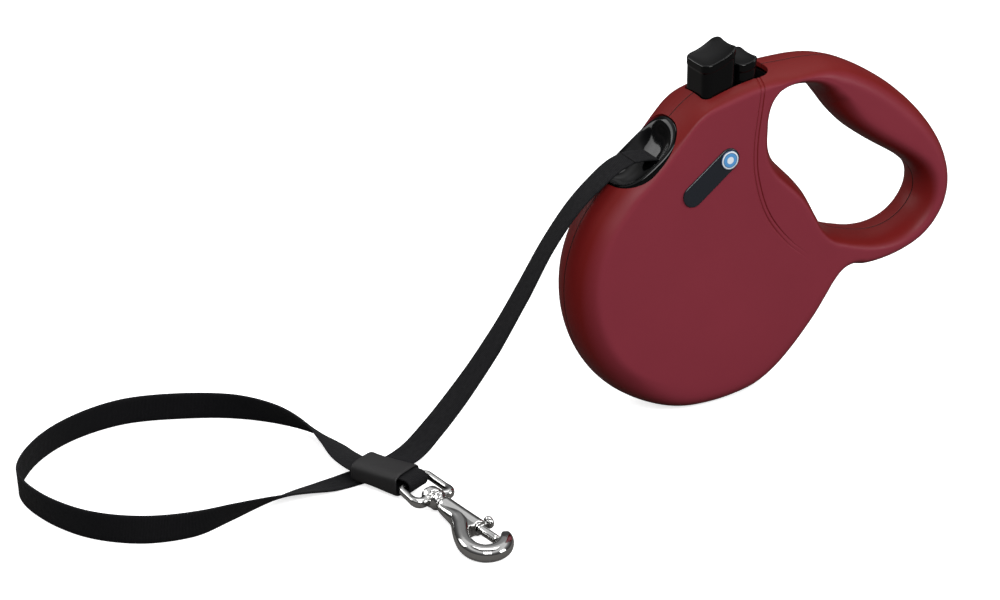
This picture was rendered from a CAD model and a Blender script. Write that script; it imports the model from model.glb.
import math

import bmesh
import bpy
import numpy as np
from mathutils import Matrix, Vector
from mathutils.bvhtree import BVHTree
from mathutils.geometry import delaunay_2d_cdt

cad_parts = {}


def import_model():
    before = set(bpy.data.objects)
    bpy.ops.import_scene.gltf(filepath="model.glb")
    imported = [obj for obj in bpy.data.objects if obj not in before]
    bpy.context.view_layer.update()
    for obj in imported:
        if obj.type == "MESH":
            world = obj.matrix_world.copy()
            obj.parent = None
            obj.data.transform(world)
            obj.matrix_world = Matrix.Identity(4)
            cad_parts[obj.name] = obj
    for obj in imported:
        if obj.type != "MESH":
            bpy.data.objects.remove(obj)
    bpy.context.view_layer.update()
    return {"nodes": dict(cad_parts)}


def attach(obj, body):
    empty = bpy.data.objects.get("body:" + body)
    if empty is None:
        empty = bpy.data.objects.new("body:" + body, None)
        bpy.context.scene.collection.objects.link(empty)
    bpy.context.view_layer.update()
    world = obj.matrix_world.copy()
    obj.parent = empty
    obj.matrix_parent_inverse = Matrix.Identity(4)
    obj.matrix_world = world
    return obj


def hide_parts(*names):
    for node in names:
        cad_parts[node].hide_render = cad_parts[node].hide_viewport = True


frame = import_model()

scene = bpy.context.scene
scene.view_settings.view_transform = "Standard"
scene.view_settings.look = "None"

# All shapes below are in millimetres from the spool's axle; OFFSET takes them to the row frame.
OFFSET = Vector((-111, 0, -61))
FLOOR = -73.5


def place(v):
    return (Vector(v) + OFFSET) / 1000


# ---- camera -------------------------------------------------------------------------------
SENSOR, FRAME_W, FRAME_H = 36, 1000, 600
AXLE_COLUMN, AXLE_ROW = 693, 264             # where the photo shows the spool's axle


def camera():
    az, el, lens, away = math.radians(-28), math.radians(24), 135, 1875
    back = Vector((math.sin(az) * math.cos(el), -math.cos(az) * math.cos(el), math.sin(el)))
    right = Vector((math.cos(az), math.sin(az), 0))
    up = back.cross(right)
    per = away / (lens / SENSOR * FRAME_W)   # mm for each of the frame's columns, at the axle
    where = (back * away - right * (AXLE_COLUMN - FRAME_W / 2) * per
             - up * (FRAME_H / 2 - AXLE_ROW) * per)
    data = bpy.data.cameras.new("camera")
    data.lens, data.sensor_width = lens, SENSOR
    data.clip_start, data.clip_end = 0.1, 50
    cam = bpy.data.objects.new("camera", data)
    scene.collection.objects.link(cam)
    cam.matrix_world = Matrix.Translation(place(where)) @ Matrix(
        (right, up, back)).transposed().to_4x4()
    scene.camera = cam


camera()


# ---- mesh helpers -------------------------------------------------------------------------
def mesh_object(name, verts, faces, material, frame_m=None, smooth=True, closed=True, angle=None):
    """A mesh from millimetre points, through frame_m where it has axes of its own."""
    if frame_m is not None:
        verts = [frame_m @ Vector(v) for v in verts]
    mesh = bpy.data.meshes.new(name)
    mesh.from_pydata([place(v) for v in verts], [], [tuple(int(i) for i in f) for f in faces])
    mesh.validate()
    obj = bpy.data.objects.new(name, mesh)
    scene.collection.objects.link(obj)
    for m in material if isinstance(material, (list, tuple)) else [material]:
        mesh.materials.append(m)
    if closed:
        bm = bmesh.new()
        bm.from_mesh(mesh)
        bmesh.ops.recalc_face_normals(bm, faces=bm.faces)
        bm.to_mesh(mesh)
        bm.free()
    finish_shading(obj, smooth, angle)
    return obj


def finish_shading(obj, smooth=True, angle=None):
    mesh = obj.data
    mesh.polygons.foreach_set("use_smooth", [smooth] * len(mesh.polygons))
    if angle is not None:
        mesh.set_sharp_from_angle(angle=math.radians(angle))
    mesh.update()


def apply_modifiers(obj):
    dg = bpy.context.evaluated_depsgraph_get()
    mesh = bpy.data.meshes.new_from_object(obj.evaluated_get(dg))
    obj.modifiers.clear()
    old = obj.data
    obj.data = mesh
    bpy.data.meshes.remove(old)


def cut(obj, *cutters):
    for c in cutters:
        m = obj.modifiers.new("cut", "BOOLEAN")
        m.operation = "DIFFERENCE"
        m.solver = "MANIFOLD"
        m.object = c
    apply_modifiers(obj)
    for c in cutters:
        bpy.data.objects.remove(c)


def join(name, objs, material):
    """Several closed meshes as one object."""
    bm = bmesh.new()
    for o in objs:
        bm.from_mesh(o.data)
    mesh = bpy.data.meshes.new(name)
    bm.to_mesh(mesh)
    bm.free()
    for o in objs:
        bpy.data.objects.remove(o)
    obj = bpy.data.objects.new(name, mesh)
    scene.collection.objects.link(obj)
    mesh.materials.append(material)
    return obj


def cast(obj, voxel, rounds):
    """Melts the solids of one object together, as a casting, and smooths it."""
    r = obj.modifiers.new("melt", "REMESH")
    r.mode, r.voxel_size, r.adaptivity = "VOXEL", voxel / 1000, 0
    s = obj.modifiers.new("soften", "SMOOTH")
    s.factor, s.iterations = 0.5, rounds
    apply_modifiers(obj)
    finish_shading(obj)


def ring_faces(rings, n, cap0=False, cap1=False, closed=False):
    """Quads between rings of n points, and from the last back to the first if closed."""
    faces = []
    for k in range(rings - 1):
        for i in range(n):
            a, b = k * n + i, k * n + (i + 1) % n
            faces.append((a, b, b + n, a + n))
    last = (rings - 1) * n
    if cap0:
        faces.append(tuple(range(n)))
    if cap1:
        faces.append(tuple(last + i for i in reversed(range(n))))
    if closed:
        faces += [(last + i, last + (i + 1) % n, (i + 1) % n, i) for i in range(n)]
    return faces


def circle(n):
    return [(math.cos(2 * math.pi * i / n), math.sin(2 * math.pi * i / n)) for i in range(n)]


def squircle(a, b, t, power=2.7):
    c, s = math.cos(t), math.sin(t)
    return (math.copysign(abs(c) ** (2 / power), c) * a, math.copysign(abs(s) ** (2 / power),
        s) * b)


def super_ring(a, b, power, n):
    return [squircle(a, b, 2 * math.pi * i / n, power) for i in range(n)]


def slab(name, plan, z0, z1, material, frame_m=None, smooth=False):
    """An outline in XY, raised from z0 to z1."""
    return mesh_object(name, [(x, y, z) for z in (z0, z1) for x, y in plan],
                       ring_faces(2, len(plan), cap0=True, cap1=True), material, frame_m, smooth)


def lathe(name, profile, axis_m, material, n=48, angle=40):
    """A turned piece about +X of axis_m from (x, r) pairs, closed on the axis at both ends."""
    verts = [(x, r * c, r * s) for x, r in profile for c, s in circle(n)]
    return mesh_object(name, verts, ring_faces(len(profile), n, cap0=True, cap1=True), material,
                       axis_m, angle=angle)


# ---- curves -------------------------------------------------------------------------------
def spline(points, at, closed=False, dims=3):
    """Centripetal Catmull-Rom through the points, at index values; columns past dims ride along."""
    p = np.array(points, float)
    n = len(p)
    at = np.asarray(at, float)
    i = np.floor(at + 1e-9).astype(int)
    if not closed:
        i = np.clip(i, 0, n - 2)
    w = (at - i)[:, None]
    ext = p if closed else np.vstack([2 * p[0] - p[1], p, 2 * p[-1] - p[-2]])
    def get(k):
        return ext[k % n] if closed else ext[k + 1]
    a, b, c, d = get(i - 1), get(i), get(i + 1), get(i + 2)
    def gap(u, v):
        return np.maximum(np.linalg.norm((u - v)[:, :dims], axis=1) ** 0.5, 1e-4)[:, None]
    d0, d1, d2 = gap(a, b), gap(b, c), gap(c, d)
    t1 = ((b - a) / d0 - (c - a) / (d0 + d1) + (c - b) / d1) * d1
    t2 = ((c - b) / d1 - (d - b) / (d1 + d2) + (d - c) / d2) * d1
    w2, w3 = w * w, w * w * w
    return ((2 * w3 - 3 * w2 + 1) * b + (w3 - 2 * w2 + w) * t1
            + (3 * w2 - 2 * w3) * c + (w3 - w2) * t2)


def resample(points, count, closed=False):
    """Even steps along a spline through plane points; columns past the second ride along."""
    n = len(points)
    dense = np.linspace(0, n if closed else n - 1, 40 * n, endpoint=not closed)
    q = spline(points, dense, closed, 2)
    loop = np.vstack([q, q[:1]]) if closed else q
    s = np.concatenate([[0], np.cumsum(np.linalg.norm(np.diff(loop[:, :2], axis=0), axis=1))])
    at = np.linspace(0, s[-1], count, endpoint=not closed)
    return np.column_stack([np.interp(at, s, loop[:, k]) for k in range(loop.shape[1])])


def smoothstep(a, b, x):
    t = np.clip((np.asarray(x, float) - a) / (b - a), 0, 1)
    return t * t * (3 - 2 * t)


# ---- materials ----------------------------------------------------------------------------
def principled(name, color, roughness, metallic=0.0, **sockets):
    m = bpy.data.materials.new(name)
    m.use_nodes = True
    b = m.node_tree.nodes["Principled BSDF"]
    b.inputs["Base Color"].default_value = (*color, 1)
    b.inputs["Roughness"].default_value = roughness
    b.inputs["Metallic"].default_value = metallic
    for k, v in sockets.items():
        b.inputs[k.replace("_", " ")].default_value = v
    return m, m.node_tree.nodes, m.node_tree.links, b


def calc(nodes, links, operation, *values):
    """A math node's result; each value is a number or the socket that feeds it."""
    n = nodes.new("ShaderNodeMath")
    n.operation = operation
    for i, v in enumerate(values):
        if isinstance(v, (int, float)):
            n.inputs[i].default_value = v
        else:
            links.new(v, n.inputs[i])
    return n.outputs[0]


def ramp(nodes, links, fac, first, last, stops):
    """A colour ramp's result, with stops between first at 0 and last at 1."""
    r = nodes.new("ShaderNodeValToRGB")
    links.new(fac, r.inputs["Fac"])
    e = r.color_ramp.elements
    e[0].position, e[0].color = 0.0, first
    e[1].position, e[1].color = 1.0, last
    for at, c in stops:
        e.new(at).color = c
    return r.outputs["Color"]


def noise(nodes, links, scale, detail=3):
    where = nodes.new("ShaderNodeTexCoord")
    n = nodes.new("ShaderNodeTexNoise")
    n.inputs["Scale"].default_value = scale
    n.inputs["Detail"].default_value = detail
    links.new(where.outputs["Object"], n.inputs["Vector"])
    return n.outputs["Fac"]


def vary(nodes, links, fac, low, high, target, colour=True):
    """Sends a 0..1 value to a socket as a colour or a number between low and high."""
    r = nodes.new("ShaderNodeMapRange")
    r.inputs["From Min"].default_value, r.inputs["From Max"].default_value = 0.3, 0.7
    if not colour:
        r.inputs["To Min"].default_value, r.inputs["To Max"].default_value = low, high
        links.new(fac, r.inputs["Value"])
        links.new(r.outputs["Result"], target)
        return
    links.new(fac, r.inputs["Value"])
    mix = nodes.new("ShaderNodeMix")
    mix.data_type = "RGBA"
    mix.inputs[6].default_value, mix.inputs[7].default_value = (*low, 1), (*high, 1)
    links.new(r.outputs["Result"], mix.inputs[0])
    links.new(mix.outputs[2], target)
    return mix.outputs[2]


def bump(nodes, links, height, strength, distance, shader, after=None):
    b = nodes.new("ShaderNodeBump")
    b.inputs["Strength"].default_value = strength
    b.inputs["Distance"].default_value = distance
    links.new(height, b.inputs["Height"])
    if after is not None:
        links.new(after.outputs["Normal"], b.inputs["Normal"])
    links.new(b.outputs["Normal"], shader.inputs["Normal"])
    return b


def plastic(name, color, roughness, spread=0.06, grain=900, depth=0.00004, strength=0.25, tint=0.06,
            edge=None, **sockets):
    """Moulded plastic: faint mottling, uneven gloss and a fine spark-eroded grain. edge is the tone
    of the surfaces that don't face along Y."""
    m, nodes, links, b = principled(name, color, roughness, **sockets)
    broad = noise(nodes, links, 18, 4)
    out = vary(nodes, links, broad, [c * (1 - tint) for c in color],
               [c * (1 + tint) for c in color],
               b.inputs["Base Color"])
    if edge:
        where = nodes.new("ShaderNodeTexCoord")
        split = nodes.new("ShaderNodeSeparateXYZ")
        links.new(where.outputs["Normal"], split.inputs["Vector"])
        side = calc(nodes, links, "ABSOLUTE", split.outputs["Y"])
        r = nodes.new("ShaderNodeMapRange")
        r.inputs["From Min"].default_value, r.inputs["From Max"].default_value = 0.55, 0.98
        links.new(side, r.inputs["Value"])
        mix = nodes.new("ShaderNodeMix")
        mix.data_type = "RGBA"
        mix.inputs[6].default_value = (*edge, 1)
        links.new(out, mix.inputs[7])
        links.new(r.outputs["Result"], mix.inputs[0])
        links.new(mix.outputs[2], b.inputs["Base Color"])
    vary(nodes, links, noise(nodes, links, 55, 5), roughness - spread, roughness + spread,
         b.inputs["Roughness"], colour=False)
    first = bump(nodes, links, noise(nodes, links, grain, 3), strength, depth, b)
    bump(nodes, links, noise(nodes, links, 30, 2), 0.12, 0.0002, b, after=first)
    return m


def metal(name, color, roughness, brushed=0.0, grain=1500, scuff=0.1):
    m, nodes, links, b = principled(name, color, roughness, 1.0)
    vary(nodes, links, noise(nodes, links, 240, 6), max(0.02, roughness * (1 - scuff)),
         roughness * (1 + scuff * 3), b.inputs["Roughness"], colour=False)
    vary(nodes, links, noise(nodes, links, 60, 3), [c * 0.96 for c in color], color,
         b.inputs["Base Color"])
    bump(nodes, links, noise(nodes, links, grain, 2), 0.02 + brushed, 0.00002, b)
    return m


def woven(name, color, roughness, pitch, thread=0.00045):
    """Ribbed tape: u runs along it in metres and v across it, so that the ribs keep their pitch."""
    m, nodes, links, b = principled(name, color, roughness)
    b.inputs["Sheen Weight"].default_value = 0.015
    b.inputs["Sheen Roughness"].default_value = 0.4
    b.inputs["Specular IOR Level"].default_value = 0.18
    where = nodes.new("ShaderNodeUVMap")
    split = nodes.new("ShaderNodeSeparateXYZ")
    links.new(where.outputs["UV"], split.inputs["Vector"])

    def wave(socket, period):
        return calc(nodes, links, "SINE", calc(nodes, links, "MULTIPLY", socket,
                                               2 * math.pi / period))

    ribs = wave(split.outputs["X"], pitch)
    across = calc(nodes, links, "MULTIPLY", wave(split.outputs["Y"], thread), 0.25)
    weave = calc(nodes, links, "ADD", ribs, across)
    fuzz = noise(nodes, links, 2500, 2)
    bump(nodes, links, calc(nodes, links, "ADD", weave, fuzz), 0.55, 0.00012, b)
    half = calc(nodes, links, "MULTIPLY_ADD", ribs, 0.22, 0.5)
    vary(nodes, links, half, [c * 0.55 for c in color], [c * 1.5 for c in color],
         b.inputs["Base Color"])
    vary(nodes, links, noise(nodes, links, 400, 4), roughness - 0.08, roughness + 0.08,
         b.inputs["Roughness"], colour=False)
    return m


MAROON = plastic("maroon_satin", (0.208, 0.0272, 0.042), 0.42, spread=0.04, grain=2200,
                 depth=0.00003, strength=0.12, tint=0.035, edge=(0.148, 0.0092, 0.0088),
                 Specular_IOR_Level=0.14)
GLOSS = plastic("black_gloss", (0.0014, 0.0015, 0.0017), 0.10, spread=0.02, grain=1500,
                depth=0.00001, strength=0.04, Specular_IOR_Level=0.24)
SATIN = plastic("black_satin", (0.003, 0.003, 0.0032), 0.34, spread=0.05, grain=1800,
                depth=0.00002, strength=0.15, Specular_IOR_Level=0.16)
WELL = plastic("black_well", (0.004, 0.003, 0.003), 0.5, Specular_IOR_Level=0.2)
RUBBER = plastic("sleeve_rubber", (0.0125, 0.012, 0.0125), 0.52, spread=0.06, grain=1200,
                 depth=0.00004, strength=0.2, tint=0.12, Specular_IOR_Level=0.35)
TAPE = woven("ribbed_tape", (0.0032, 0.0032, 0.0042), 0.66, 0.0007)
CHROME = metal("polished_chrome", (0.64, 0.64, 0.63), 0.06)
STEEL = metal("plain_steel", (0.46, 0.46, 0.47), 0.34, brushed=0.05)
NYLON = plastic("spool_nylon", (0.66, 0.64, 0.58), 0.45)
PLATE = plastic("badge_dark", (0.010, 0.013, 0.018), 0.22, spread=0.03)


EMBLEM_R = 5


def emblem_material():
    """Blue disc with a pale rim and a plain pale dot, by distance from the disc's own centre."""
    m, nodes, links, b = principled("badge_blue", (0.1, 0.3, 0.62), 0.2)
    where = nodes.new("ShaderNodeTexCoord")
    far = nodes.new("ShaderNodeVectorMath")
    far.operation = "DISTANCE"
    links.new(where.outputs["Object"], far.inputs[0])
    far.inputs[1].default_value = place((8.4, -19.4, 61))
    share = calc(nodes, links, "MULTIPLY", far.outputs["Value"], 1000 / EMBLEM_R)
    white, blue, deep = (0.72, 0.78, 0.84, 1), (0.09, 0.30, 0.62, 1), (0.02, 0.05, 0.12, 1)
    stops = [(0.34, white), (0.40, blue), (0.70, blue), (0.75, deep), (0.80, white), (0.90, white),
             (0.95, deep)]
    links.new(ramp(nodes, links, share, white, deep, stops), b.inputs["Base Color"])
    bump(nodes, links, noise(nodes, links, 700, 2), 0.05, 0.00002, b)
    return m


EMBLEM = emblem_material()

# ---- tape (made first: its place is the frame's) --------------------------------------------
TAPE_W, TAPE_T = 14.6, 1.2
INNER = [[15.6, 0, 51.6, 0], [-2, 0, 57, 0], [-20, 0, 62, 0], [-32, 0, 64.2, 0],
         [-38.6, 0, 64.3, 0]]
ROUTE = [[-39.2, 0, 64.2, 0], [-46, 0, 61.8, 0], [-54.8, 0, 56.1, 0], [-67.6, 0.5, 45, -2],
         [-81.7, 1.5, 26.6, -1], [-95.6, 3, 2.4, 5], [-110.9, 5, -22.8, 9], [-128, 6, -44.9, 10],
         [-144.4, 5, -60.9, 9], [-157, 3, -69.6, 8], [-171.4, 0.2, -72.7, 1],
         [-189.4, -3.4, -72.9, 0],
         [-206.7, -6.2, -72.5, -5], [-224.1, -9.9, -70.2, -20], [-243.5, -15.2, -68, -39],
         [-263.2, -20.6, -66.5, -60], [-284.4, -23.5, -66.2, -82], [-307.8, -17.5, -66.2, -92],
         [-328.3, -0.3, -66.2, -90], [-340.9, 28.4, -66.2, -86], [-341.4, 55.8, -66.2, -86],
         [-324.7, 80.6, -66.2, -93], [-298.9, 98.1, -66.2, -96], [-267.6, 104.9, -66.2, -93],
         [-238.8, 97.5, -66.2, -92], [-214, 83.4, -66.2, -99], [-198.4, 63.6, -66.2, -115],
         [-191.2, 42.3, -66.3, -135], [-190, 22.7, -66.2, -157], [-190.4, 8, -66.2, -173],
         [-188.3, -4.6, -66.2, -180], [-185.2, -10.9, -66.2, -180], [-180.6, -19.6, -66.2, -180]]


def tape_section():
    """Flat tape's section: rounded, slightly thicker selvedges."""
    w, t, sides, pts = TAPE_W, TAPE_T, 5, []
    for s, start in ((1, -90), (-1, 90)):
        for i in range(sides):
            a = math.radians(start + 180 * i / (sides - 1))
            pts.append((s * (w / 2 - t / 2) + t / 2 * math.cos(a), t / 2 * math.sin(a)))
        for f in (0.6, 0.2, -0.2, -0.6):
            pts.append((s * f * w / 2, s * t / 2 * 0.9))
    return pts


def ribbon(name, q, acrosses, material, frame_m=None):
    """Flat tape along the points q, its width along the given directions."""
    d = np.gradient(q, axis=0)
    d /= np.linalg.norm(d, axis=1)[:, None]
    s = np.concatenate([[0], np.cumsum(np.linalg.norm(np.diff(q, axis=0), axis=1))])
    sec = tape_section()
    verts, uv = [], []
    for i in range(len(q)):
        across = Vector(acrosses[i])
        up = across.cross(Vector(d[i])).normalized()
        for x, y in sec:
            verts.append(Vector(q[i]) + across * x + up * y)
            uv.append((s[i] / 1000, x / 1000))
    obj = mesh_object(name, verts, ring_faces(len(q), len(sec), cap0=True, cap1=True), material,
                      frame_m)
    layer = obj.data.uv_layers.new(name="UVMap")
    for loop in obj.data.loops:
        layer.data[loop.index].uv = uv[loop.vertex_index]
    return obj


def sweep_tape(name, points, steps, material):
    """Ribbon along the points; the fourth column is its roll in degrees."""
    roll = np.array([p[3] for p in points], float)
    at = np.linspace(0, len(points) - 1, steps + 1)
    q = spline([p[:3] for p in points], at)
    rolls = spline(np.column_stack([np.array(points)[:, :3], roll]), at)[:, 3]
    rolls = np.radians(0.5 * rolls + 0.5 * np.interp(at, np.arange(len(points)), roll))
    d = np.gradient(q, axis=0)
    acrosses = []
    for i in range(len(q)):
        h = Vector((d[i][1], -d[i][0], 0)).normalized()
        v = h.cross(Vector(d[i])).normalized()
        acrosses.append(h * math.cos(rolls[i]) + v * math.sin(rolls[i]))
    return ribbon(name, q, acrosses, material), q


leash, line = sweep_tape("leash_tape_ribbed", ROUTE, 640, TAPE)
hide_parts("leash_tape")
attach(leash, "casing")
lead, _ = sweep_tape("tape_lead_ribbed", INNER, 60, TAPE)
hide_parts("tape_lead")
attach(lead, "casing")

# ---- casing -------------------------------------------------------------------------------
# Outline and hand opening at the parting plane, each with the width of its rim's rounding.
OUTLINE = [[-17, 80.9, 4], [-10.4, 86.7, 3.4], [-3.9, 91.1, 4], [5, 94.8, 5.4], [15, 97.7, 5.8],
  [25, 99.5, 5.6], [36, 100.3, 5.6], [48, 100.3, 6.4], [60, 100.3, 7.6], [70, 99.4, 8.6],
  [80, 96.5, 9.2],
  [90.2, 91.6, 9.6], [100.1, 85.7, 10], [109.1, 79.4, 10.4], [117, 72.8, 10.4], [124, 66.2, 10],
  [130.2, 59.3, 9.4], [135.8, 51.9, 8.8], [140.6, 43.9, 8.2], [144.1, 35.6, 8], [146.2, 27.3, 8],
  [146.5, 19.1, 8], [144.6, 10.7, 7.5], [140.7, 3.3, 7], [134.7, -3.6, 6.5], [126.8, -9, 6],
  [116, -13.2, 6], [104, -15.5, 6], [93, -15.8, 6], [86.8, -14.6, 6], [81.4, -15.7, 6],
  [76.5, -20.1, 6.6], [71.5, -27.7, 8], [66.5, -35.5, 9], [60.9, -42.8, 9.8], [52, -53, 10.6],
  [41.9, -62.2, 11.4], [30.3, -69, 12], [17.2, -72.2, 12.4], [4, -73.4, 12.6], [-10, -72.8, 12.8],
  [-23, -69.8, 13], [-36, -64, 13], [-47.5, -56.1, 12.5], [-56, -47.6, 12], [-63.5, -37, 11.5],
  [-69, -25.3, 11], [-72.5, -12.8, 10.5], [-73.8, 0, 10.3], [-72.9, 12.8, 10.2],
  [-69.5, 25.5, 10], [-63.7, 37.5, 10], [-56, 47.7, 10], [-48, 56.2, 9.5], [-38, 63.6, 8.5],
  [-28, 71.4, 6.5]]
OPENING = [[36.8, 71, 6.6], [37.2, 60, 6.5], [40.7, 51.8, 6.3], [46.7, 45, 6], [53.1, 38.4, 5.6],
  [58.3, 32, 5.2], [61.8, 26, 4.8], [65, 19.8, 4.5], [69.3, 12.6, 4.5], [75, 7.3, 4.8],
  [82, 4, 5], [90, 1.6, 5.5], [98.8, -0.4, 5.8], [108, -0.7, 6], [115.8, 1.1, 6.5], [122.4, 4.8, 7],
  [127.4, 10.1, 7], [130.1, 16, 7], [129.9, 22.7, 7.5], [126.7, 29.2, 8], [120.3, 35.5, 8],
  [111.8, 41.5, 8.5], [102.4, 47.5, 9], [94, 53.3, 9], [86.5, 59.1, 9], [80.3, 65.1, 9],
  [75.2, 71, 8.5], [70.7, 77, 8], [66, 83.2, 7.5], [60, 88, 7], [52.2, 89.6, 6.8],
  [45, 88.2, 6.8], [39.4, 83.4, 6.8], [37.3, 77.4, 6.7]]
GROOVE = [[28.4, 102], [27.9, 97.5], [27.4, 94], [26.7, 88], [25.6, 79], [24.5, 70], [24.1, 61.5],
  [24.6, 52], [26.7, 42], [29.2, 34], [32.3, 27], [36.8, 19.8], [42.2, 13], [47, 7.8],
  [52.1, 3.3], [57, -0.9], [62, -4.6]]
HALF_T, GRIP_HALF_T, WALL = 17.5, 15.5, 2.4
PARTING = 0.26          # half the width of the parting line's dark strip
BELLY_POWER = 0.68      # roundness of the rim's section under the spool's housing


def half_thickness(x):
    return HALF_T + (GRIP_HALF_T - HALF_T) * smoothstep(60, 140, x)


def area(p):
    q = np.roll(p, -1, axis=0)
    return float((p[:, 0] * q[:, 1] - q[:, 0] * p[:, 1]).sum() / 2)


def normals(p, outer):
    """Unit normals in XZ that point into the material."""
    d = np.roll(p, -1, axis=0) - np.roll(p, 1, axis=0)
    d /= np.linalg.norm(d, axis=1)[:, None]
    left = np.column_stack([-d[:, 1], d[:, 0]])
    left = left if (area(p) > 0) == outer else -left
    for _ in range(2):
        left = left + 0.5 * (np.roll(left, 1, axis=0) + np.roll(left, -1, axis=0))
        left /= np.linalg.norm(left, axis=1)[:, None]
    return left


FINER = 12


def soft_columns(points, count, extra=()):
    """The closed outline at even steps, with finer steps where extra asks for them."""
    n = len(points)
    q = resample(points, count, closed=True)
    if extra:
        lo, hi, z_min, step = extra
        dense = resample(points, count * FINER, closed=True)
        s = np.arange(len(dense))
        near = (dense[:, 0] > lo) & (dense[:, 0] < hi) & (dense[:, 1] > z_min)
        keep = sorted(set(s[::FINER]) | set(s[near][::step]))
        q = dense[keep]
    b = q[:, 2].copy()
    for _ in range(6):
        b = 0.25 * np.roll(b, 1) + 0.5 * b + 0.25 * np.roll(b, -1)
    q[:, 2] = b
    return q


OUT = soft_columns(OUTLINE, 400, (23.5, 30.5, 80, 2))
HOLE = soft_columns(OPENING, 240)
GROOVE_LINE = resample(GROOVE, 260)


def groove_depth(x, z):
    """Depth of the twin scored lines on the side face, 0 away from them; they fade out below."""
    p = np.column_stack([np.ravel(x), np.ravel(z)])
    d2 = ((p[:, None, :] - GROOVE_LINE[None, :, :]) ** 2).sum(2)
    k = d2.argmin(1)
    d = np.sqrt(d2[np.arange(len(p)), k])
    fade = 1 - smoothstep(170, 258, k)
    shape = 0.42 * np.exp(-((d - 1.0) / 0.24) ** 2) + 0.10 * (1 - smoothstep(0.6, 1.3, d))
    return (shape * fade).reshape(np.shape(x))


def near_distance(p, other):
    return np.sqrt(((p[:, None, :2] - other[None, :, :2]) ** 2).sum(2)).min(1)


def rim(p, outer, other, channel):
    """Rings from the parting line over the rim to just past the crest: list of (x, y, z) arrays."""
    n = normals(p[:, :2], outer)
    gap2 = ((p[:, None, :2] - other[None, :, :2]) ** 2).sum(2)
    facing = gap2.argmin(1)
    width = np.sqrt(gap2.min(1))
    b = np.minimum(p[:, 2], (width - 1.2) * p[:, 2] / (p[:, 2] + other[facing, 2]))
    spare = np.clip(0.3 * (width - b - other[facing, 2]), 0.2, 2.2)
    if outer:       # how far round the section is: a crest where it stops short, or a full oval
        k = 0.70 + 0.28 * smoothstep(46, 70, p[:, 0])
    else:
        k = 0.45 + 0.53 * np.maximum(smoothstep(62, 84, p[:, 0]),
                                     smoothstep(42, 58, p[:, 0]) * smoothstep(70, 82, p[:, 1]))
    full = 0 * b    # 1 where the rim is fuller than an oval: the underside of the spool's housing
    if outer:
        full = (smoothstep(0.15, 0.75, 0.8 * n[:, 1] - 0.6 * n[:, 0])
                * (1 - smoothstep(72, 88, p[:, 0])) * (1 - smoothstep(-20, 10, p[:, 1])))
    H = half_thickness(p[:, 0] + n[:, 0] * b)
    rows = [(0.45 + 0 * b, 0.10 + 0 * b), (0.25 + 0 * b, 0.17 + 0 * b),
            (0.05 + 0 * b, 0.29 + 0 * b),
            (0 * b, 0.6 + 0 * b)]
    steps = 20
    top = k * math.pi / 2
    for j in range(1, steps + 1):
        a = top * (j / steps) ** 0.95
        f = (j / steps) * math.pi / 2
        rows.append((b * ((1 - full) * (1 - np.cos(a)) / (1 - np.cos(top))
                          + full * (1 - max(math.cos(f), 0) ** BELLY_POWER)),
                     0.8 + (H - 0.8) * ((1 - full) * np.sin(a) / np.sin(top)
                                        + full * math.sin(f) ** BELLY_POWER)))
    rows.append((b + spare * 0.5, H))
    rows.append((b + spare, H))
    t = np.array([r[0] for r in rows])
    y = np.array([r[1] for r in rows])
    for _ in range(3):
        for arr in (t, y):
            arr[5:-2] = 0.25 * arr[4:-3] + 0.5 * arr[5:-2] + 0.25 * arr[6:-1]
    if channel:
        dt, dy = np.gradient(t, axis=0), np.gradient(y, axis=0)
        size = np.hypot(dt, dy) + 1e-9
        x, z = p[:, 0] + n[:, 0] * t, p[:, 1] + n[:, 1] * t
        d = np.array([groove_depth(x[i], z[i]) for i in range(len(t))]) * smoothstep(2, 6, y)
        t, y = t + d * dy / size, y - d * dt / size
    return [np.column_stack([p[:, 0] + n[:, 0] * t[i], y[i], p[:, 1] + n[:, 1] * t[i]])
            for i in range(len(t))], n


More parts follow.
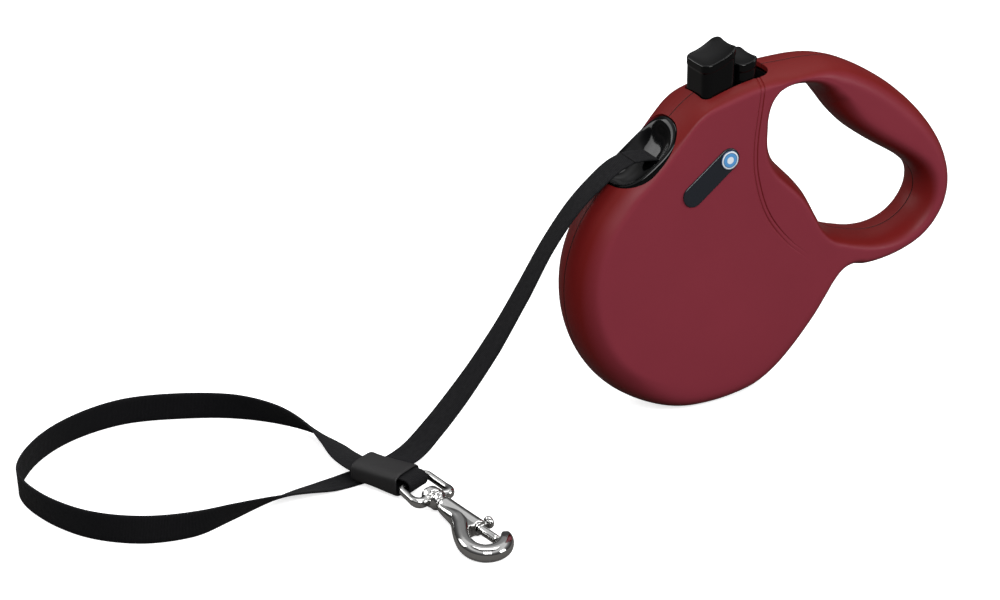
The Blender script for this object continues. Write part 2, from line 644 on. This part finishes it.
def casing_half(name, sign, material):
    """sign -1: badge side, +1: screw side. A closed shell, WALL thick and thinner where narrow."""
    verts, faces = [], []

    def flat(loops):
        return [np.array([(verts[i][0], verts[i][2]) for i in loop]) for loop in loops]

    def clear_of(loops):
        """Which grid points lie in the face between two loops, away from both."""
        ok = inside(grid, loops[0]) & ~inside(grid, loops[1])
        return ok & (near_distance(grid, loops[0]) > 1.5) & (near_distance(grid, loops[1]) > 1.5)

    def push(ring):
        first = len(verts)
        verts.extend([tuple(v) for v in ring])
        return range(first, first + len(ring))

    def skin(rings, ids):
        for a, b in zip(ids[:-1], ids[1:]):
            m = len(a)
            for i in range(m):
                faces.append((a[i], a[(i + 1) % m], b[(i + 1) % m], b[i]))

    loops_out, loops_in = [], []
    for p, outer, other in ((OUT, True, HOLE), (HOLE, False, OUT)):
        rings, n = rim(p, outer, other, sign < 0)
        under = []
        crest = rings[-3]
        b = np.hypot(crest[:, 0] - p[:, 0], crest[:, 2] - p[:, 1])
        wall = np.clip(0.42 * (near_distance(p, other) - 8), 0.5, WALL)
        for share, high in ((0, 0.0), (0.06, 0.4), (0.3, 0.72), (0.62, 0.9), (0.92, 1.0)):
            lip = p[:, :2] + n * (wall * (1 - 0.6 * share) + b * share)[:, None]
            y = np.maximum(0.10, (half_thickness(lip[:, 0]) - WALL) * high)
            under.append(np.column_stack([lip[:, 0], y, lip[:, 1]]))
        ids_out = [push(r) for r in rings]
        ids_in = [push(r) for r in under]
        skin(rings, ids_out)
        skin(under, [ids_out[0]] + ids_in)
        loops_out.append(ids_out[-1])
        loops_in.append(ids_in[-1])

    def fill(loops, points, height):
        """Flat face between the two loops, through extra points."""
        ids, co, edges, start = [], [], [], 0
        for loop in loops:
            m = len(loop)
            ids += list(loop)
            co += [Vector((verts[i][0], verts[i][2])) for i in loop]
            edges += [(start + i, start + (i + 1) % m) for i in range(m)]
            start += m
        co += [Vector(q) for q in points]
        out = delaunay_2d_cdt(co, edges, [], 2, 1e-6)
        new_v, tri, orig = out[0], out[2], out[3]
        index = []
        for v, o in zip(new_v, orig):
            if o and o[0] < len(ids):
                index.append(ids[o[0]])
            else:
                index.append(len(verts))
                verts.append((v[0], float(height(v[0], v[1])), v[1]))
        poly = flat(loops)
        cent = np.array([[sum(new_v[i][k] for i in t) / len(t) for k in (0, 1)] for t in tri])
        keep = inside(cent, poly[0]) & ~inside(cent, poly[1])
        for t, ok in zip(tri, keep):
            if ok:
                faces.append(tuple(index[i] for i in t))

    gx, gz = np.meshgrid(np.arange(-72, 148, 4.0), np.arange(-72, 102, 4.0))
    grid = np.column_stack([gx.ravel(), gz.ravel()])
    loop_xz = flat(loops_out)
    points = list(grid[clear_of(loop_xz) & (near_distance(grid, GROOVE_LINE) > 2.6)])
    if sign < 0:
        line = GROOVE_LINE
        d = np.gradient(line, axis=0)
        d /= np.linalg.norm(d, axis=1)[:, None]
        side = np.column_stack([-d[:, 1], d[:, 0]])
        for off in (-2.1, -1.6, -1.35, -1.17, -1, -0.83, -0.62, -0.3,
                    0.3, 0.62, 0.83, 1, 1.17, 1.35, 1.6, 2.1):
            q = line + side * off
            ok = inside(q, loop_xz[0]) & ~inside(q, loop_xz[1])
            ok &= near_distance(q, loop_xz[0]) > 0.25
            points += list(q[ok])
        fill(loops_out, points, lambda x, z: half_thickness(x) - groove_depth(
            np.array([x]), np.array([z]))[0])
    else:
        fill(loops_out, points, lambda x, z: half_thickness(x))
    fill(loops_in, list(grid[clear_of(flat(loops_in))][::3]),
         lambda x, z: half_thickness(x) - WALL)
    verts = [(x, sign * y, z) for x, y, z in verts]
    obj = mesh_object(name, verts, faces, (material, WELL), angle=38)
    for f in obj.data.polygons:         # the parting line reads dark
        if abs(f.center.y) < PARTING / 1000:
            f.material_index = 1
    return obj


def inside(p, poly):
    """Even-odd test of points against one closed polygon."""
    x, z = p[:, 0][:, None], p[:, 1][:, None]
    ax, az = poly[:, 0][None, :], poly[:, 1][None, :]
    bx, bz = np.roll(poly[:, 0], -1)[None, :], np.roll(poly[:, 1], -1)[None, :]
    hit = ((az > z) != (bz > z)) & (x < (bx - ax) * (z - az) / (bz - az + 1e-15) + ax)
    return hit.sum(1) % 2 == 1


# mouth of the casing: X up along the rim, Z out of it
TILT = math.atan2(24.1, 31.3)
MOUTH_M = Matrix(((math.cos(TILT), 0, -math.sin(TILT), -32.2), (0, 1, 0, 0),
                  (math.sin(TILT), 0, math.cos(TILT), 67.9), (0, 0, 0, 1)))
MOUTH_SHIFT = 0.9
BORE_R, BORE_SIDES = 3.15, 40
SCREWS = [[-53.7, -37.6], [32.8, -56.8], [-65, 8], [139.3, 19.5], [109, 62.5], [54.5, 94.8]]


def mouth_cutter(a, b, n0, n1):
    return slab("tool", [(x - MOUTH_SHIFT, y) for x, y in super_ring(a, b, 2.7, 96)],
                n0, n1, MAROON,
                MOUTH_M, smooth=True)


def round_box(x0, x1, half, r0, r1, z0, z1):
    """Upright prism, its corners rounded by r0 at x0 and by r1 at x1."""
    return slab("tool", plan_outline(x0, x1, half, r0, r1), z0, z1, MAROON, smooth=True)


def plan_outline(x0, x1, half, r0, r1, n=10, mid=12):
    pts = []
    corners = ((x1 - r1, half - r1, 0, r1), (x0 + r0, half - r0, 90, r0),
               (x0 + r0, -half + r0, 180, r0), (x1 - r1, -half + r1, 270, r1))
    for k, (cx, cy, a, r) in enumerate(corners):
        for i in range(n + 1):
            t = math.radians(a + 90 * i / n)
            pts.append((cx + r * math.cos(t), cy + r * math.sin(t)))
        nx, ny, na, nr = corners[(k + 1) % 4]
        t = math.radians(na)
        a0, a1 = Vector(pts[-1]), Vector((nx + nr * math.cos(t), ny + nr * math.sin(t)))
        pts += [tuple(a0.lerp(a1, i / mid)) for i in range(1, mid)]
    return pts


for name, sign, cad in (("shell_near_moulded", -1, "shell_near"),
                        ("shell_far_moulded", 1, "shell_far")):
    half = casing_half(name, sign, MAROON)
    skin_tree = BVHTree.FromPolygons([v.co for v in half.data.vertices],
                                     [tuple(f.vertices) for f in half.data.polygons])
    tools = [round_box(-2.1, 36.8, 11.0, 3.9, 7.0, 78, 130), mouth_cutter(22.4, 16.3, -25, 12)]
    if sign > 0:
        tools += [mesh_object("tool", [(x + BORE_R * c, y, z + BORE_R * s)
                                       for y in (9, 30) for c, s in circle(BORE_SIDES)],
                              ring_faces(2, BORE_SIDES, cap0=True, cap1=True), MAROON)
                  for x, z in SCREWS]
    cut(half, *tools)
    finish_shading(half, angle=38)
    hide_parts(cad)
    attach(half, "casing")


# screw wells on the far side, as cups behind the holes
def surface(x, z):
    """Height of the uncut far half's skin over a point."""
    hit = skin_tree.ray_cast(place((x, 60, z)), Vector((0, -1, 0)))[0]
    return (hit.y * 1000 - OFFSET.y) if hit else 0


wells = []
for x, z in SCREWS:
    turn = circle(BORE_SIDES)
    lip = [surface(x + 3.2 * c, z + 3.2 * s) - 0.3 for c, s in turn]
    skirt = [surface(x + 4.3 * c, z + 4.3 * s) - 1.5 for c, s in turn]
    rows = ((3.13, lip), (3.13, [min(12.7, y - 0.8) for y in lip]),
            (3.08, [min(10.1, y - 1.6) for y in lip]), (4.1, [min(10.0, y - 1) for y in skirt]),
            (4.1, skirt))
    verts = [(x + r * c, y, z + r * s) for r, ys in rows for (c, s), y in zip(turn, ys)]
    wells.append(mesh_object("well", verts, ring_faces(5, BORE_SIDES), MAROON, closed=False))
well = join("screw_wells", wells, MAROON)
finish_shading(well, angle=38)
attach(well, "casing")

# ---- mouthpiece ---------------------------------------------------------------------------
def bezel():
    """Glossy scoop: a rolled flange that follows the rim, running down to the tape's slot."""
    prof = [(21.2, 14.9, -11.3), (22.1, 16.0, -5.2), (22.2, 16.15, -0.2), (22.1, 16.1, 0.4),
            (21.8, 15.85, 0.85), (21.3, 15.45, 1.05), (20.6, 14.9, 0.95), (19.9, 14.3, 0.5),
            (19.1, 13.6, -0.3), (18.0, 12.7, -1.5), (16.5, 11.6, -3.0), (14.4, 10.2, -4.7),
            (11.8, 8.5, -6.2), (8.8, 6.6, -7.3), (5.6, 4.3, -8.0), (2.6, 2.0, -8.3),
            (0.3, 0.3, -8.4)]
    n, verts = 120, []
    for k, (a, b, z) in enumerate(prof):
        f = max(0, k - 5) / (len(prof) - 6)
        for i in range(n):
            t = 2 * math.pi * i / n
            x, y = squircle(a, b, t, 2.7 - 0.5 * f)
            x -= 5.5 * f + MOUTH_SHIFT
            low = 5.0 * (y / 16.2) ** 2 + 1.1 * float(smoothstep(6, 20, -x)) * (1 - f)
            verts.append((x, y, z - (low if k else 0)))
    return mesh_object("exit_mouthpiece", verts, ring_faces(len(prof), n, cap0=True, cap1=True),
                       GLOSS, MOUTH_M, angle=60)


mouth = bezel()
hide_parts("exit_bezel")
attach(mouth, "casing")


# ---- brake button and lock ----------------------------------------------------------------
def keycap(name, x0, x1, half, r, z_foot, top, lip, dish):
    """A key with glossy sides and a bevelled, dished satin top. top(x, y) is its height."""
    steps = [(0.3, None), (0.3, 5.0), (0.3, 4.3), (0.08, 4.05), (0, 3.8), (0, 3.4), (0, 1.4),
             (0, 1.15), (0.05, 0.75), (0.2, 0.42), (0.45, 0.17), (0.8, 0.03), (1.1, 0.0),
             (lip + 0.3, 0.02), (lip + 0.7, 0.12), (lip + 1.2, dish)]
    verts, rings = [], 0
    for inset, down in steps:
        for x, y in plan_outline(x0 + inset, x1 - inset, half - inset, r - inset * 0.8,
                                 r - inset * 0.8):
            verts.append((x, y, z_foot if down is None else top(x, y) - down))
        rings += 1
    n = len(verts) // rings
    base = np.array(verts[-n:])
    cx = (x0 + x1) / 2
    for f in (0.88, 0.75, 0.62, 0.5, 0.37, 0.25, 0.12, 0.03):
        for x, y, _ in base:
            px = cx + (x - cx) * f
            verts.append((px, y * f, top(px, y * f) - dish - 0.15 * (1 - f * f)))
        rings += 1
    obj = mesh_object(name, verts, ring_faces(rings, n, cap0=True, cap1=True), (GLOSS, SATIN),
                      angle=50)
    quads, first_satin = n * (rings - 1), 10
    for p in obj.data.polygons:
        if p.index < quads and p.index // n >= first_satin or p.index == quads + 1:
            p.material_index = 1
    return obj


def scooped(x0, z0, x1, z1, sag, hollow, half):
    """Height of a thumb scoop: sag along the key, hollow across it and deeper towards its back."""
    def top(x, y):
        t = min(1, max(0, (x - x0) / (x1 - x0)))
        return (z0 + (z1 - z0) * t - 4 * sag * t * (1 - t)
                - hollow * (0.25 + 0.75 * t) * (1 - min(1, abs(y) / half) ** 2))
    return top


button = keycap("brake_button_cap", -1.8, 17.2, 10.8, 4.6, 84,
                scooped(-1.9, 108.6, 17.4, 117.4, 2.0, 2.1, 10.7), 1.0, 0.22)
foot = slab("foot", ((4, -9.6), (12, -9.6), (12, -5.6), (4, -5.6)), 64.6, 85, GLOSS)
bm = bmesh.new()
bm.from_mesh(button.data)
bm.from_mesh(foot.data)
bm.to_mesh(button.data)
bm.free()
bpy.data.objects.remove(foot)
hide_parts("brake_button")
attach(button, "button")
lock = keycap("lock_cap", 17.7, 29.3, 10.7, 4.2, 89,
              scooped(17.6, 106.3, 29.4, 109.4, 1.2, 1.4, 10.7), 0.8, 0.2)
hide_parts("lock_slider")
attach(lock, "lock")


def tray():
    """Dark floor and walls behind the lock, under the rim of the pocket."""
    outer = plan_outline(17.9, 36.7, 10.95, 0.3, 6.9)
    inner = plan_outline(17.9, 36.4, 10.66, 0.3, 6.6)
    n = len(outer)
    verts = [(x, y, z) for pts, z in ((outer, 86.4), (outer, 96.6), (inner, 96.6), (inner, 87.2))
             for x, y in pts]
    return mesh_object("button_well", verts, ring_faces(4, n, cap0=True, cap1=True), WELL, angle=40)


well_tray = tray()
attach(well_tray, "casing")


# ---- badge --------------------------------------------------------------------------------
def badge():
    a, b, r, n = Vector((-11.4, 45.4)), Vector((8.4, 61)), 5.8, 24
    t0 = math.atan2(b.y - a.y, b.x - a.x)
    verts = []
    for inset, y in ((0, -17.62), (0, -18.15), (0.12, -18.36), (0.38, -18.48), (0.9, -18.5),
                     (3.5, -18.5)):
        for c, start in ((b, -90), (a, 90)):
            for i in range(n + 1):
                t = t0 + math.radians(start + 180 * i / n)
                verts.append((c.x + (r - inset) * math.cos(t), y, c.y + (r - inset) * math.sin(t)))
    return mesh_object("badge_plate_blank", verts, ring_faces(6, 2 * n + 2, cap0=True, cap1=True),
                       PLATE, angle=40)


plate = badge()
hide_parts("badge_plate")
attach(plate, "casing")
EMBLEM_M = Matrix(((0, 1, 0, 8.4), (-1, 0, 0, 0), (0, 0, 1, 61), (0, 0, 0, 1)))
dome = lathe("badge_emblem_dome", [(18.52, 5), (18.9, 5), (19.12, 4.85), (19.25, 4.5), (19.34, 3.6),
                                   (19.4, 2.4), (19.43, 1.2), (19.44, 0.2)], EMBLEM_M, EMBLEM)
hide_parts("badge_emblem")
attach(dome, "casing")

# ---- sleeve and fold ----------------------------------------------------------------------
SLEEVE_DIR = math.atan2(-0.883, 0.469)
SLEEVE_M = Matrix.Translation((-188, -5.5, -66.2)) @ Matrix.Rotation(SLEEVE_DIR, 4, "Z")
HOOK_DIR = math.atan2(-0.9856, 0.1692)
EYE = Vector((-171.8, -52.8, -66.9))
EYE_M = (Matrix.Translation(EYE) @ Matrix.Rotation(HOOK_DIR, 4, "Z")
         @ Matrix.Rotation(math.radians(2.7), 4, "Y"))


def sleeve():
    """Soft rubber tube: rounded lips, a slack top that dips a little between its ends."""
    rows = [(0.3, 8.5, 4.5, 4.5), (0, 9.0, 4.9, 4.2), (0.15, 9.35, 5.2, 3.9), (0.7, 9.6, 5.42, 3.8),
            (1.6, 9.68, 5.48, 3.6)]
    rows += [(x, 9.62 - 0.18 * math.sin(math.pi * (x - 1.6) / 24), 5.46 - 0.34 * math.sin(
        math.pi * (x - 1.6) / 24), 3.5) for x in np.linspace(3.5, 24, 12)]
    rows += [(25.4, 9.68, 5.48, 3.6), (26.4, 9.62, 5.44, 3.7), (26.95, 9.4, 5.25, 3.9),
             (27.1, 9.05, 4.95, 4.2), (26.85, 8.6, 4.6, 4.6), (26.0, 8.4, 4.42, 5),
             (13, 8.4, 4.4, 5),
             (1.2, 8.4, 4.4, 5)]
    n, outer_rows, verts = 56, 22, []       # rows after the first 22 are the bore
    for k, (x, hy, hz, power) in enumerate(rows):
        e = float(smoothstep(6, 24, x)) * (1 if k < outer_rows else 0)
        verts += [(x, y * (1 + 0.04 * e), z - 1.1 * e * (z < 0) + 0.2 * e)
                  for y, z in super_ring(hy, hz, power, n)]
    return mesh_object("rubber_sleeve", verts, ring_faces(len(rows), n, closed=True), RUBBER,
                       SLEEVE_M, angle=60)


boot = sleeve()
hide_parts("sleeve")
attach(boot, "casing")


def fold():
    r, cx = 3.45, 30.2
    pts = [(x, 0, r) for x in np.linspace(19.5, cx - 0.5, 14)]
    pts += [(cx + r * math.sin(a), 0, r * math.cos(a)) for a in np.linspace(0, math.pi, 25)]
    pts += [(x, 0, -r) for x in np.linspace(cx - 0.5, 19.5, 14)]
    return ribbon("tape_fold_sewn", np.array(pts), [(0, 1, 0)] * len(pts), TAPE, SLEEVE_M)


bend = fold()
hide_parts("tape_fold")
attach(bend, "casing")


# ---- swivel eye and snap ------------------------------------------------------------------
def plan(m, x, y):
    v = m @ Vector((x, y, 0))
    return Vector((v.x, v.y, 0))


def sweep_section(name, centre, halves, heights, power, m, closed, n=40, outer=None):
    """Sweeps a superellipse along a line in the plane of m: halves across, heights along Z. outer
    is the power of its right-hand half, where that is rounder."""
    q = np.array(centre, float)
    d = (np.roll(q, -1, axis=0) - np.roll(q, 1, axis=0)) if closed else np.gradient(q, axis=0)
    d /= np.linalg.norm(d, axis=1)[:, None]
    verts = []
    for i in range(len(q)):
        side = (-d[i][1], d[i][0])
        round_half = super_ring(halves[i], heights[i], outer or power, n)
        for k, (a, b) in enumerate(super_ring(halves[i], heights[i], power, n)):
            if a < 0:
                a, b = round_half[k]
            verts.append((q[i][0] + side[0] * a, q[i][1] + side[1] * a, b))
    faces = ring_faces(len(q), n, cap0=not closed, cap1=not closed, closed=closed)
    return mesh_object(name, verts, faces, CHROME, m)


def eye_loop():
    ends = []
    for m, x, y in ((SLEEVE_M, 30.2, -10.3), (SLEEVE_M, 30.2, 10.3), (EYE_M, -1.5, 10.8),
                    (EYE_M, -1.5, -10.6)):
        p = plan(m, x, y)
        dx, dy = p.x - EYE.x, p.y - EYE.y
        c, s = math.cos(HOOK_DIR), math.sin(HOOK_DIR)
        ends.append(Vector((dx * c + dy * s, -dx * s + dy * c)))
    pts = []
    for i, p in enumerate(ends):
        r = 3.4 if i < 2 else 5.0
        ua, ub = (ends[i - 1] - p).normalized(), (ends[(i + 1) % 4] - p).normalized()
        p0, p1 = p + ua * r, p + ub * r
        for k in range(13):
            t = k / 12
            pts.append(p0 * (1 - t) ** 2 + p * 2 * t * (1 - t) + p1 * t * t)
    pts = resample([(p.x, p.y) for p in pts], 150, closed=True)
    bar = smoothstep(-8, -2, pts[:, 0])
    pts[:, 0] += 1.2 * bar * smoothstep(3.5, 8.5, np.abs(pts[:, 1])) - 0.5 * bar
    wide = [1.75 + 0.75 * float(b) for b in bar]
    tall = [2.0 + 0.5 * float(b) for b in bar]
    loop = sweep_section("swivel_eye_loop", pts, wide, tall, 2.5, EYE_M, True)
    boss = lathe("boss", [(-6.1, 3.4), (-5.9, 4.3), (-5.2, 4.9), (-4.4, 5.1), (-1.6, 5.2),
                          (-0.5, 5.0),
                          (-0.05, 4.3)], EYE_M, CHROME, n=64)
    obj = join("swivel_eye_cast", [loop, boss], CHROME)
    cast(obj, 0.22, 34)
    cut(obj, lathe("bore", [(-9, 2.2), (3, 2.2)], EYE_M, CHROME, n=48))
    finish_shading(obj, angle=45)
    return obj


eye = eye_loop()
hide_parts("swivel_eye")
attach(eye, "eye")

CURVE = [(7.4, -2.2, 2.6), (11.5, -2.9, 3.0), (16, -3.3, 3.3), (21, -4.0, 3.5), (26, -6.0, 3.9),
         (31.4, -9.4, 3.9), (37.2, -12.9, 3.6), (43.6, -15.4, 3.6), (50, -15.5, 3.7),
         (54.8, -12.6, 3.9),
         (56.5, -8.0, 4.0), (55.7, -3.2, 4.0), (53.2, 0.8, 3.8), (50.0, 3.9, 3.2), (47.2, 5.6, 2.5)]


def hook():
    steps = 110
    q = resample(CURVE, steps)
    high = [2.6 + 1.3 * float(smoothstep(0, 0.2, f)) - 0.7 * float(smoothstep(0.9, 1, f))
            for f in (i / (steps - 1) for i in range(steps))]
    arm = sweep_section("arm", q[:, :2], q[:, 2], high, 4.4, EYE_M, False, n=48, outer=2.1)
    shank = lathe("shank", [(0.1, 3.6), (0.25, 4.2), (0.7, 4.8), (1.2, 5.0), (2.0, 5.0),
                            (2.5, 4.75),
                            (3.0, 4.0), (3.6, 3.5), (4.6, 3.35), (5.6, 3.5), (6.6, 4.0), (8.0, 4.2),
                            (16, 4.15), (27, 4.15), (33.2, 4.15), (34.1, 3.95), (34.4, 3.6)],
                  EYE_M, CHROME, n=72)
    web = slab("web", ((15, -2), (34, -2), (34.3, -5.2), (33.6, -8.6), (29, -8.6), (22, -4.2)),
               -3.4, 3.4, CHROME, EYE_M)
    obj = join("hook_cast", [arm, shank, web], CHROME)
    cast(obj, 0.28, 9)
    slot_box = mesh_object("tool", [(x, y, z) for x in (22.3, 37.5) for y, z in
                                    ((0.2, -1.5), (8.5, -1.5), (8.5, 1.5), (0.2, 1.5))],
                           ring_faces(2, 4, cap0=True, cap1=True), CHROME, EYE_M, smooth=False)
    cut(obj, lathe("bore", [(8, 2.6), (39.5, 2.6)], EYE_M, CHROME, n=56), slot_box)
    finish_shading(obj, angle=45)
    return obj


snap = hook()
pin = lathe("hook_pin", [(-8.0, 1.2), (-7.95, 2.2), (-7.7, 2.9), (-7.2, 3.15), (-6.6, 3.1),
                         (-6.25, 1.95),
                         (0.6, 1.95)], EYE_M, CHROME)
for p in (snap, pin):
    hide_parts("hook_body")
    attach(p, "hook")


def bolt_piece():
    rod = lathe("rod", [(19.5, 1.5), (19.7, 2.0), (20.1, 2.25), (46.4, 2.25), (47.2, 2.1),
                        (47.7, 1.7),
                        (47.9, 1.0), (47.95, 0.2)], EYE_M, CHROME, n=56)
    turn = EYE_M @ Matrix.Translation((32, 0, 0)) @ Matrix.Rotation(math.pi / 2, 4, "Z")
    knob = lathe("knob", [(0.5, 1.05), (5.2, 1.05), (5.45, 1.5), (5.75, 2.5), (6.3, 3.0),
                          (7.2, 3.1),
                          (8.1, 2.8), (8.7, 2.0), (8.95, 1.0), (9.0, 0.2)], turn, CHROME)
    obj = join("hook_bolt_turned", [rod, knob], CHROME)
    finish_shading(obj, angle=40)
    return obj


bolt = bolt_piece()
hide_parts("hook_bolt")
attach(bolt, "bolt")

# ---- CAD nodes that stay ------------------------------------------------------------------
for nodes, material in ((["spool_drum", "spool_flange", "spring_cover"], NYLON),
                        (["tape_coil"], WELL),
                        (["power_spring", "brake_spring", "bolt_spring", "spool_axle"]
                         + [f"screw_{i}" for i in range(1, 7)], STEEL)):
    for name in nodes:
        obj = frame["nodes"][name]
        obj.data.materials.clear()
        obj.data.materials.append(material)

# ---- floor and light ----------------------------------------------------------------------
def floor():
    """Floor that the camera sees white, as the photo's ground. All other rays see it dark."""
    m = bpy.data.materials.new("pale_floor")
    m.use_nodes = True
    nodes, links = m.node_tree.nodes, m.node_tree.links
    b = nodes["Principled BSDF"]
    b.inputs["Roughness"].default_value = 0.8
    b.inputs["Specular IOR Level"].default_value = 0.1
    b.inputs["Emission Color"].default_value = (1, 1, 1, 1)
    b.inputs["Emission Strength"].default_value = 0.72
    vary(nodes, links, noise(nodes, links, 3, 3), (0.86, 0.86, 0.86), (0.88, 0.88, 0.88),
         b.inputs["Base Color"])
    dim = nodes.new("ShaderNodeBsdfDiffuse")
    dim.inputs["Color"].default_value = (0.13, 0.125, 0.12, 1)
    mix = nodes.new("ShaderNodeMixShader")
    links.new(nodes.new("ShaderNodeLightPath").outputs["Is Camera Ray"], mix.inputs[0])
    links.new(dim.outputs[0], mix.inputs[1])
    links.new(b.outputs[0], mix.inputs[2])
    links.new(mix.outputs[0], nodes["Material Output"].inputs["Surface"])
    s = 9
    mesh = bpy.data.meshes.new("floor")
    z = place((0, 0, FLOOR - 0.05)).z
    mesh.from_pydata([(-s, -s, z), (s, -s, z), (s, s, z), (-s, s, z)], [], [(0, 1, 2, 3)])
    mesh.materials.append(m)
    obj = bpy.data.objects.new("floor", mesh)
    scene.collection.objects.link(obj)


floor()


AIM = Vector((0, 0, -0.02))


def softbox(name, at, size, power):
    data = bpy.data.lights.new(name, "AREA")
    data.shape, data.size, data.size_y = "RECTANGLE", size[0], size[1]
    data.energy = power
    obj = bpy.data.objects.new(name, data)
    scene.collection.objects.link(obj)
    obj.location = at
    obj.rotation_euler = (AIM - Vector(at)).to_track_quat("-Z", "Y").to_euler()


def world():
    w = bpy.data.worlds.new("studio")
    scene.world = w
    w.use_nodes = True
    nodes, links = w.node_tree.nodes, w.node_tree.links
    nodes.clear()
    where = nodes.new("ShaderNodeTexCoord")
    split = nodes.new("ShaderNodeSeparateXYZ")
    links.new(where.outputs["Generated"], split.inputs["Vector"])
    greys = ((0.08, 0.06), (0.30, 0.08), (0.44, 0.17), (0.56, 0.36), (0.66, 0.85), (0.80, 0.75),
             (0.90, 0.10))
    sky = ramp(nodes, links, split.outputs["Z"], (0.12, 0.11, 0.11, 1), (0.06, 0.06, 0.06, 1),
               [(at, (v, v, v * 1.01, 1)) for at, v in greys])
    back = nodes.new("ShaderNodeBackground")
    back.inputs["Strength"].default_value = 1.0
    links.new(sky, back.inputs["Color"])
    out = nodes.new("ShaderNodeOutputWorld")
    links.new(back.outputs["Background"], out.inputs["Surface"])


world()
softbox("key", (-0.7, -1.6, 1.3), (1.3, 1.0), 34)
softbox("fill", (1.3, -1.3, 0.6), (0.9, 0.9), 13)
softbox("top", (0.1, 0.3, 1.9), (1.6, 1.0), 16)
softbox("back", (-1.4, 1.5, 0.8), (1.1, 0.8), 10)
